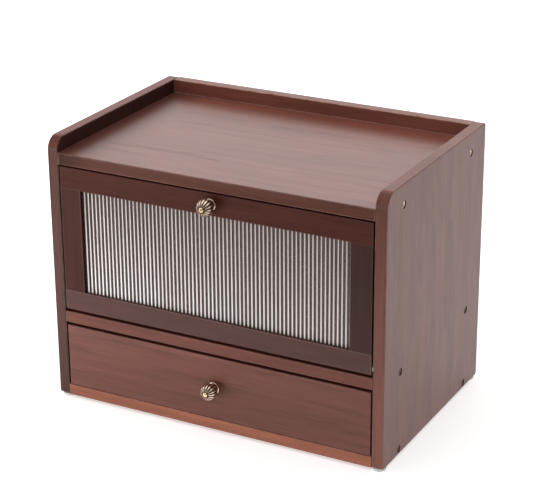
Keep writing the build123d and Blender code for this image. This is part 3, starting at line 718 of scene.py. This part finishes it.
def knob_profile():
    """The turned profile from the wood to the middle of the button."""
    collar = [(0.0, COLLAR_RADIUS - COLLAR_BEAD)]
    collar += arc(COLLAR_BEAD, COLLAR_RADIUS - COLLAR_BEAD, COLLAR_BEAD, -60, 90, 5)
    dish = NECK_START - 2 * COLLAR_BEAD
    collar += arc(NECK_START, NECK_RADIUS + dish, dish, -90, -180, 6)[1:]
    bead = (BODY_START - NECK_START) / 2
    neck = arc(NECK_START + bead, NECK_RADIUS - bead / 2, bead, -60, 60, 4)
    mouth = [
        (BODY_END + 0.12 * MM, (MOUTH_RADIUS + RING_RADIUS) / 2),
        (BODY_END, RING_RADIUS),
        (BODY_END - RING_DEPTH, RING_RADIUS - 0.15 * MM),
        (BODY_END - RING_DEPTH, BUTTON_RADIUS + 0.05 * MM),
    ]
    button = []
    dome = BUTTON_REACH - BODY_END
    for step in range(BUTTON_STEPS + 1):
        turn = math.radians(80 * step / BUTTON_STEPS)
        button.append((BODY_END + dome * math.sin(turn), BUTTON_RADIUS * math.cos(turn)))
    button[-1] = (BUTTON_REACH, DIMPLE_RADIUS)
    button.append((BUTTON_REACH - DIMPLE_DEPTH, DIMPLE_RADIUS * 0.75))
    return collar, neck, body_profile(), mouth, button


def turn_knob(name, middle):
    """A pumpkin knob modelled round an axis along -Y through a point on the face of the wood."""
    sides = LOBES * SIDES_PER_LOBE
    collar, neck, body, mouth, button = knob_profile()
    profile = collar + neck + body + mouth + button
    piece = start_mesh(
        name,
        bpy.ops.mesh.primitive_circle_add,
        vertices=sides,
        radius=profile[0][1],
        fill_type="NGON",
        location=middle,
        rotation=(math.radians(90), 0, 0),
    )
    reach, radius = profile[0]
    for next_reach, next_radius in profile[1:]:
        bpy.ops.mesh.extrude_region_move(
            TRANSFORM_OT_translate={"value": (0, -(next_reach - reach), 0)}
        )
        factor = next_radius / radius
        bpy.ops.transform.resize(value=(factor, 1, factor), center_override=middle)
        reach, radius = next_reach, next_radius
    draw_creases(piece, middle, body)
    close_mesh(piece, math.radians(50))
    mark_creases(piece, middle, body)
    return piece


def lobe_phase(point, middle):
    """How far a point is from the crest of its lobe, from 0 on the crest to 1 in the crease."""
    angle = math.atan2(point.z - middle.z, point.x - middle.x) / (2 * math.pi / LOBES)
    return 2 * abs(angle - round(angle))


def crease_depth(phase):
    """Depth of a lobe's round flank, from 0 on the crest to 1 in the crease."""
    return 1 - math.sqrt(max(0.0, 1 - (0.97 * phase) ** 2)) if phase < 0.99 else 1.0


def draw_creases(piece, middle, body):
    """Draws the flanks of the lobes in towards the axis."""
    start, end = body[0][0], body[-1][0]
    for step in range(1, SIDES_PER_LOBE // 2 + 1):
        phase = 2 * step / SIDES_PER_LOBE

        def on_flank(point, phase=phase):
            reach = middle.y - point.y
            radius = math.hypot(point.x - middle.x, point.z - middle.z)
            on_body = start + 0.05 * MM < reach < end + 0.02 * MM and radius > RING_RADIUS + 0.2 * MM
            return on_body and abs(lobe_phase(point, middle) - phase) < 0.06

        select_vertices(piece, on_flank)
        factor = 1 - CREASE_SHARE * crease_depth(phase)
        bpy.ops.transform.resize(value=(factor, 1, factor), center_override=middle)


def mark_creases(piece, middle, body):
    """Stores how deep each vertex lies in a crease, the neck or the sunk ring, for the patina."""
    start, end = body[0][0], body[-1][0]
    marks = []
    for vertex in piece.data.vertices:
        reach = middle.y - vertex.co.y
        radius = math.hypot(vertex.co.x - middle.x, vertex.co.z - middle.z)
        if reach < start:
            mark = 0.85 if radius < COLLAR_RADIUS - 2 * COLLAR_BEAD else 0.0
        elif radius <= RING_RADIUS:
            mark = 0.9 if radius > BUTTON_RADIUS * 0.98 else RUBBED
        else:
            towards_end = abs(reach - (start + end) / 2) / ((end - start) / 2)
            mark = lobe_phase(vertex.co, middle) ** 1.2 + 0.2 * towards_end**4
        marks.append(mark)
    attribute = piece.data.attributes.new("crease", "FLOAT", "POINT")
    attribute.data.foreach_set("value", marks)


def make_knobs(material):
    """Both knobs: one is modelled, the other copied."""
    middles = {}
    for name in ("door_knob", "drawer_knob"):
        low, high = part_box(name)
        middles[name] = Vector(((low.x + high.x) / 2, high.y, (low.z + high.z) / 2))
    door_knob = turn_knob("door_knob_brass", middles["door_knob"])
    drop = Matrix.Translation(middles["drawer_knob"] - middles["door_knob"])
    drawer_knob = copy_piece(door_knob, "drawer_knob_brass", drop)
    for piece, body in ((door_knob, "door"), (drawer_knob, "drawer")):
        dress(piece, material, body)
        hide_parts(body + "_knob")


# ------------------------------------------------------------------ screws with cross recesses
def turn_up(name, profile):
    """A turned piece on the Z axis from (height, radius) pairs, closed at both ends."""
    height, radius = profile[0]
    piece = start_mesh(
        name,
        bpy.ops.mesh.primitive_circle_add,
        vertices=SCREW_SIDES,
        radius=radius,
        fill_type="NGON",
        location=(0, 0, height),
    )
    for next_height, next_radius in profile[1:]:
        rise = (0, 0, next_height - height)
        bpy.ops.mesh.extrude_region_move(TRANSFORM_OT_translate={"value": rise})
        factor = next_radius / radius
        bpy.ops.transform.resize(value=(factor, factor, 1), center_override=(0, 0, 0))
        height, radius = next_height, next_radius
    return close_mesh(piece)


def cut_cross(piece, top, span, depth):
    """Cuts a tapered cross recess into the head."""
    for turn in (0, math.radians(90)):
        cutter = start_mesh(
            "cross_cutter", bpy.ops.mesh.primitive_cube_add, size=1.0, location=(0, 0, top)
        )
        bpy.ops.transform.resize(value=(span, span * CROSS_ARM, 2 * depth))
        bpy.ops.transform.rotate(value=turn, orient_axis="Z", center_override=(0, 0, 0))
        select_vertices(cutter, lambda point: point.z < top)
        bpy.ops.transform.resize(value=(CROSS_TAPER, CROSS_TAPER, 1), center_override=(0, 0, top))
        close_mesh(cutter)
        cut = piece.modifiers.new("cross", "BOOLEAN")
        cut.operation = "DIFFERENCE"
        cut.solver = "EXACT"
        cut.object = cutter
        bpy.ops.object.select_all(action="DESELECT")
        bpy.context.view_layer.objects.active = piece
        bpy.ops.object.modifier_apply(modifier=cut.name)
        bpy.data.objects.remove(cutter)
    return piece


def countersunk_screw(name, head_radius, shank_radius, length):
    """A countersunk wood screw, head upwards, its flat in the XY plane."""
    rim = 0.06 * head_radius
    profile = [
        (0.0, head_radius - rim),
        (-rim, head_radius),
        (-(head_radius - shank_radius), shank_radius),
        (-(length - 3 * shank_radius), shank_radius),
        (-length, 0.12 * shank_radius),
    ]
    screw = turn_up(name, profile)
    return cut_cross(screw, 0.0, 1.15 * head_radius, 0.42 * head_radius)


def pan_screw(name, length):
    """A round headed machine screw, head upwards from the XY plane, its shank below it."""
    profile = [(-length, PAN_SHANK_RADIUS), (0.0, PAN_SHANK_RADIUS), (0.0, PAN_HEAD_RADIUS)]
    for step in range(1, PAN_HEAD_STEPS + 1):
        turn = math.radians(80 * step / PAN_HEAD_STEPS)
        profile.append((PAN_HEAD_HEIGHT * math.sin(turn), PAN_HEAD_RADIUS * math.cos(turn) ** 0.6))
    screw = turn_up(name, profile)
    return cut_cross(screw, profile[-1][0], 0.95 * PAN_HEAD_RADIUS, 0.36 * PAN_HEAD_RADIUS)


def set_screws(master, name, places, material, body, node):
    """Copies a screw to each place, given as (point on the wood, direction that the head faces)."""
    for number, (point, facing) in enumerate(places, start=1):
        turn = Vector(facing).to_track_quat("Z", "Y").to_matrix().to_4x4()
        screw = copy_piece(master, f"{name}_{number}", Matrix.Translation(point) @ turn)
        dress(screw, material, body)
        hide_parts(node)


def case_screw_places(side):
    """Heads in the recesses of a side panel: two in the end of each board, the top board's first."""
    low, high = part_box("side_panel_right")
    depths = (low.y + CASE_SCREW_INSET, high.y - CASE_SCREW_INSET)
    boards = [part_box(board) for board in ("top_board", "middle_shelf", "bottom_board")]
    head_x = side * (high.x - CASE_SCREW_SINK)
    return [
        (Vector((head_x, depth, (board_low.z + board_high.z) / 2)), (side, 0, 0))
        for board_low, board_high in boards
        for depth in depths
    ]


def stop_screw_places(side, stop):
    """Two screws in the inner face of a door stop."""
    low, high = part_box(stop)
    quarter = (high.z - low.z) / 4
    face = low.x if side > 0 else high.x
    middle = (low.y + high.y) / 2
    return [(Vector((face, middle, z)), (-side, 0, 0)) for z in (low.z + quarter, high.z - quarter)]


def drawer_screw_places(side, drawer_side):
    """Two screws through a drawer side into the end of the drawer's back."""
    low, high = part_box(drawer_side)
    back_low, back_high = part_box("drawer_back")
    levels = (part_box("drawer_bottom")[1].z + DRAWER_SCREW_MARGIN, back_high.z - DRAWER_SCREW_MARGIN)
    face = high.x if side > 0 else low.x
    middle = (back_low.y + back_high.y) / 2
    return [(Vector((face, middle, z)), (side, 0, 0)) for z in levels]


def make_side_screws(yellow, dulled):
    """The countersunk screws, alike on both sides; the lower case screws are dark as painted shade."""
    case_screw = countersunk_screw(
        "case_screw", CASE_HEAD_RADIUS, CASE_SHANK_RADIUS, CASE_SCREW_LENGTH
    )
    small_screw = countersunk_screw(
        "small_screw", SMALL_HEAD_RADIUS, SMALL_SHANK_RADIUS, SMALL_SCREW_LENGTH
    )
    for side, hand in ((-1, "left"), (1, "right")):
        in_case = case_screw_places(side)
        in_stop = stop_screw_places(side, f"door_stop_{hand}")
        in_drawer = drawer_screw_places(side, f"drawer_side_{hand}")
        for master, name, places, material, body, node in (
            (case_screw, "top_screw", in_case[:2], yellow, "case", "case_screws"),
            # the lower case screws take the dark steel: painted shade
            (case_screw, "low_screw", in_case[2:], dulled, "case", "case_screws"),
            (small_screw, "stop_screw", in_stop, yellow, "case", "stop_screws"),
            (small_screw, "drawer_screw", in_drawer, yellow, "drawer", "drawer_screws"),
        ):
            name, node = f"{name}_{hand}", f"{node}_{hand}"
            set_screws(master, name, places, material, body, node)
    bpy.data.objects.remove(case_screw)
    bpy.data.objects.remove(small_screw)


def make_knob_screws(bright):
    """The screws that hold the knobs from behind, their heads on the back of the wood."""
    for body, wood in (("door", "door_rail_top"), ("drawer", "drawer_front")):
        node = body + "_knob_screw"
        low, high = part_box(node)
        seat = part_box(wood)[1].y
        master = pan_screw("knob_screw", seat - low.y)
        middle = Vector(((low.x + high.x) / 2, seat, (low.z + high.z) / 2))
        places = [(middle, (0, 1, 0))]
        set_screws(master, node + "_steel", places, bright, body, node)
        bpy.data.objects.remove(master)


# ------------------------------------------------------------------ stage, light and camera
def make_floor():
    """A plain pale floor that can be seen through from below."""
    bpy.ops.object.select_all(action="DESELECT")
    bpy.ops.mesh.primitive_plane_add(size=FLOOR_SIZE, location=(0, 0, 0))
    floor = bpy.context.active_object
    floor.name = "studio_floor"
    material, tree, shader, coordinates = new_material("pale_floor")
    drift = noise(tree, coordinates, 3.0, 2.0)
    colour = blend_colours(tree, drift, (0.92, 0.92, 0.92, 1), (0.94, 0.94, 0.94, 1))
    tree.links.new(colour, shader.inputs["Base Color"])
    shader.inputs["Roughness"].default_value = 0.7
    shader.inputs["Specular IOR Level"].default_value = 0.2
    shader.inputs["Emission Color"].default_value = (1, 1, 1, 1)
    shader.inputs["Emission Strength"].default_value = TABLE_GLOW
    see_through = tree.nodes.new("ShaderNodeBsdfTransparent")
    below = tree.nodes.new("ShaderNodeNewGeometry").outputs["Backfacing"]
    shaders = {0: below, 1: shader.outputs[0], 2: see_through.outputs[0]}
    mix = place_node(tree, "ShaderNodeMixShader", shaders)
    output = next(n for n in tree.nodes if n.type == "OUTPUT_MATERIAL")
    tree.links.new(mix.outputs[0], output.inputs[0])
    floor.data.materials.append(material)


def make_flag():
    """A dark card flat on the floor in front, which only reflections see."""
    bpy.ops.object.select_all(action="DESELECT")
    bpy.ops.mesh.primitive_plane_add(size=1.0, location=(0, -FLAG_START - FLAG_DEPTH / 2, 2 * MM))
    flag = bpy.context.active_object
    flag.name = "reflection_flag"
    flag.scale = (FLAG_WIDTH, FLAG_DEPTH, 1)
    material, tree, shader, coordinates = new_material("dark_card")
    cloth = noise(tree, coordinates, 40.0)
    colour = blend_colours(tree, cloth, (0.12, 0.12, 0.12, 1), (0.16, 0.16, 0.16, 1))
    tree.links.new(colour, shader.inputs["Base Color"])
    shader.inputs["Roughness"].default_value = 0.9
    flag.data.materials.append(material)
    flag.visible_camera = False
    flag.visible_diffuse = False
    flag.visible_shadow = False
    flag.visible_transmission = False


def softbox(name, place, aim, width, height, radiance, mirrored):
    """A soft rectangular lamp of a given brightness, aimed at a point."""
    light = bpy.data.lights.new(name, "AREA")
    light.shape = "RECTANGLE"
    light.size = width
    light.size_y = height
    light.energy = radiance * math.pi * width * height
    lamp = bpy.data.objects.new(name, light)
    lamp.location = place
    lamp.visible_camera = False
    lamp.visible_glossy = mirrored
    lamp.rotation_euler = (Vector(aim) - Vector(place)).to_track_quat("-Z", "Y").to_euler()
    bpy.context.scene.collection.objects.link(lamp)


def make_light():
    """Soft lamps above, behind, on both sides, at the left front and by the table, in a dim surround."""
    world = bpy.data.worlds.new("studio_surround")
    bpy.context.scene.world = world
    world.use_nodes = True
    background = world.node_tree.nodes["Background"]
    background.inputs["Color"].default_value = SURROUND_COLOUR
    background.inputs["Strength"].default_value = SURROUND_STRENGTH
    for lamp in LAMPS:
        softbox(*lamp)


def make_camera():
    """The camera at the photograph's place."""
    camera = bpy.data.cameras.new("photo_camera")
    camera.sensor_width = SENSOR_WIDTH
    camera.lens = CAMERA_LENS
    stand = bpy.data.objects.new("photo_camera", camera)
    turn = (
        Matrix.Rotation(-CAMERA_YAW, 3, "Z")
        @ Matrix.Rotation(math.radians(90) + CAMERA_PITCH, 3, "X")
        @ Matrix.Rotation(CAMERA_ROLL, 3, "Z")
    )
    stand.location = CAMERA_PLACE
    stand.rotation_euler = turn.to_euler()
    bpy.context.scene.collection.objects.link(stand)
    bpy.context.scene.camera = stand
    bpy.context.scene.view_settings.view_transform = "Standard"


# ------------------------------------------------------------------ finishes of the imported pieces
TOP_WISPS = (  # from, to, width, strength
    ((-0.162, -0.061, 0), (-0.020, -0.049, 0), 4.2 * MM, 0.34),
    ((-0.062, -0.056, 0), (-0.010, -0.058, 0), 3.4 * MM, 0.3),
    ((-0.120, 0.030, 0), (-0.070, 0.036, 0), 3.4 * MM, 0.25),
    ((-0.030, 0.058, 0), (0.085, 0.061, 0), 3.4 * MM, 0.25),
    ((0.030, -0.012, 0), (0.150, -0.006, 0), 3.4 * MM, 0.2),
)
DOOR_HUE = (1.0, 0.31, 0.225)
# hue of the bottom board's front, which is toned lighter as painted light from the floor
FLOOR_LIT_EDGE_HUE = (1.0, 0.38, 0.25)
# faces: the tone of a face at its foot and at its top, some of them painted light and painted shade;
# polish: how much coat lies on a face
WOODEN = {
    "side_panel_left": dict(
        grain="Z",
        tone=0.12,
        shift=(0.3, 0.0, 0.1),
        # the right face is the inner face: its dark tone is painted shade
        faces={"front": (0.07, 0.07), "right": (0.05, 0.05), "top": (0.22, 0.22)},
        polish={"left": 0.6, "front": 0.35},
        shine=0.1,
        spread=0.4,
    ),
    "side_panel_right": dict(
        grain="Z",
        tone=0.15,
        shift=(1.7, 0.2, 0.3),
        # inner (left) face darkened: painted shade; front lighter at its foot: painted light from the
        # floor
        faces={"front": (0.2, 0.1), "left": (0.05, 0.05), "top": (0.22, 0.22)},
        polish={"right": 0.25, "front": 0.2},
        shine=0.2,
        spread=0.4,
    ),
    "top_board": dict(
        grain="X",
        tone=0.24,
        shift=(0.9, 0.35, 0.05),
        faces={"front": (0.09, 0.09)},
        polish={"top": 0.45},
        shine=0.12,
        wear=0.2,
        wisps=TOP_WISPS,
        # painted shade of the left side panel along the left end
        left_end_shade=0.5,
    ),
    "middle_shelf": dict(
        grain="X",
        tone=0.17,
        shift=(2.9, 0.1, 0.2),
        faces={"front": (0.14, 0.14)},
        shine=0.2,
    ),
    "bottom_board": dict(
        grain="X",
        tone=0.2,
        shift=(4.1, 0.0, 0.4),
        # its front is toned lighter: painted light from the floor
        faces={"front": (0.34, 0.34)},
        shine=0.05,
        hue=FLOOR_LIT_EDGE_HUE,
    ),
    "gallery_rail": dict(grain="X", tone=0.27, shift=(5.3, 0.2, 0.0), shine=0.2, wear=0.8),
    "door_rail_top": dict(grain="X", tone=0.06, shift=(6.1, 0.0, 0.3), shine=0.05, hue=DOOR_HUE),
    "door_rail_bottom": dict(
        grain="X", tone=0.07, shift=(7.7, 0.4, 0.1), shine=0.35, hue=DOOR_HUE, wear=0.6
    ),
    "door_stile_left": dict(
        grain="Z", tone=0.05, shift=(8.3, 0.1, 0.2), shine=0.1, hue=DOOR_HUE, wear=0.6
    ),
    "door_stile_right": dict(grain="Z", tone=0.04, shift=(9.9, 0.3, 0.0), shine=0.25, hue=DOOR_HUE),
    "door_stop_left": dict(grain="Z", tone=0.11, shift=(1.1, 0.5, 0.2)),
    "door_stop_right": dict(grain="Z", tone=0.11, shift=(2.2, 0.6, 0.1)),
    "drawer_front": dict(grain="X", tone=0.14, shift=(3.3, 0.7, 0.4), shine=0.3),
    "drawer_side_left": dict(grain="Y", tone=0.16, shift=(4.4, 0.8, 0.0)),
    "drawer_side_right": dict(grain="Y", tone=0.16, shift=(5.5, 0.9, 0.3)),
    "drawer_back": dict(grain="X", tone=0.16, shift=(6.6, 1.0, 0.1)),
}


def paint(node, material):
    """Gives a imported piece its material."""
    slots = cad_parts[node].data.materials
    if len(slots) == 0:
        slots.append(material)
    for index in range(len(slots)):
        slots[index] = material


def finish_wood():
    """Every board has its own grain and its own tone."""
    for node, look in WOODEN.items():
        paint(node, stained_wood(node, look))
    paint("back_panel", thin_sheet("sheet_back_panel", "Z", 0.13, (0.4, 0.2, 0.6)))
    paint("drawer_bottom", thin_sheet("sheet_drawer_bottom", "Y", 0.16, (1.4, 0.3, 0.2)))
    paint("rail_dowels", raw_beech("raw_beech"))


def finish_hardware():
    """Pane, metal and pads."""
    paint("door_pane", reeded_acrylic("reeded_acrylic", "door_pane"))
    steels = {name: plated_steel(name, *look) for name, look in STEELS.items()}
    pad = clear_pad("clear_pad")
    for side in ("left", "right"):
        for piece in ("pivot_pin", "strike_disc"):
            paint(f"{piece}_{side}", steels["bright_steel"])
        for piece in ("pivot_washer", "catch_magnet"):
            paint(f"{piece}_{side}", steels["nickel_plate"])
        for end in ("front", "back"):
            paint(f"foot_{end}_{side}", pad)
    make_side_screws(steels["yellow_screw_steel"], steels["screw_steel_painted_shade"])
    make_knob_screws(steels["bright_steel"])
    make_knobs(antique_brass("antique_brass"))


make_camera()
make_light()
make_floor()
make_flag()
finish_wood()
finish_hardware()
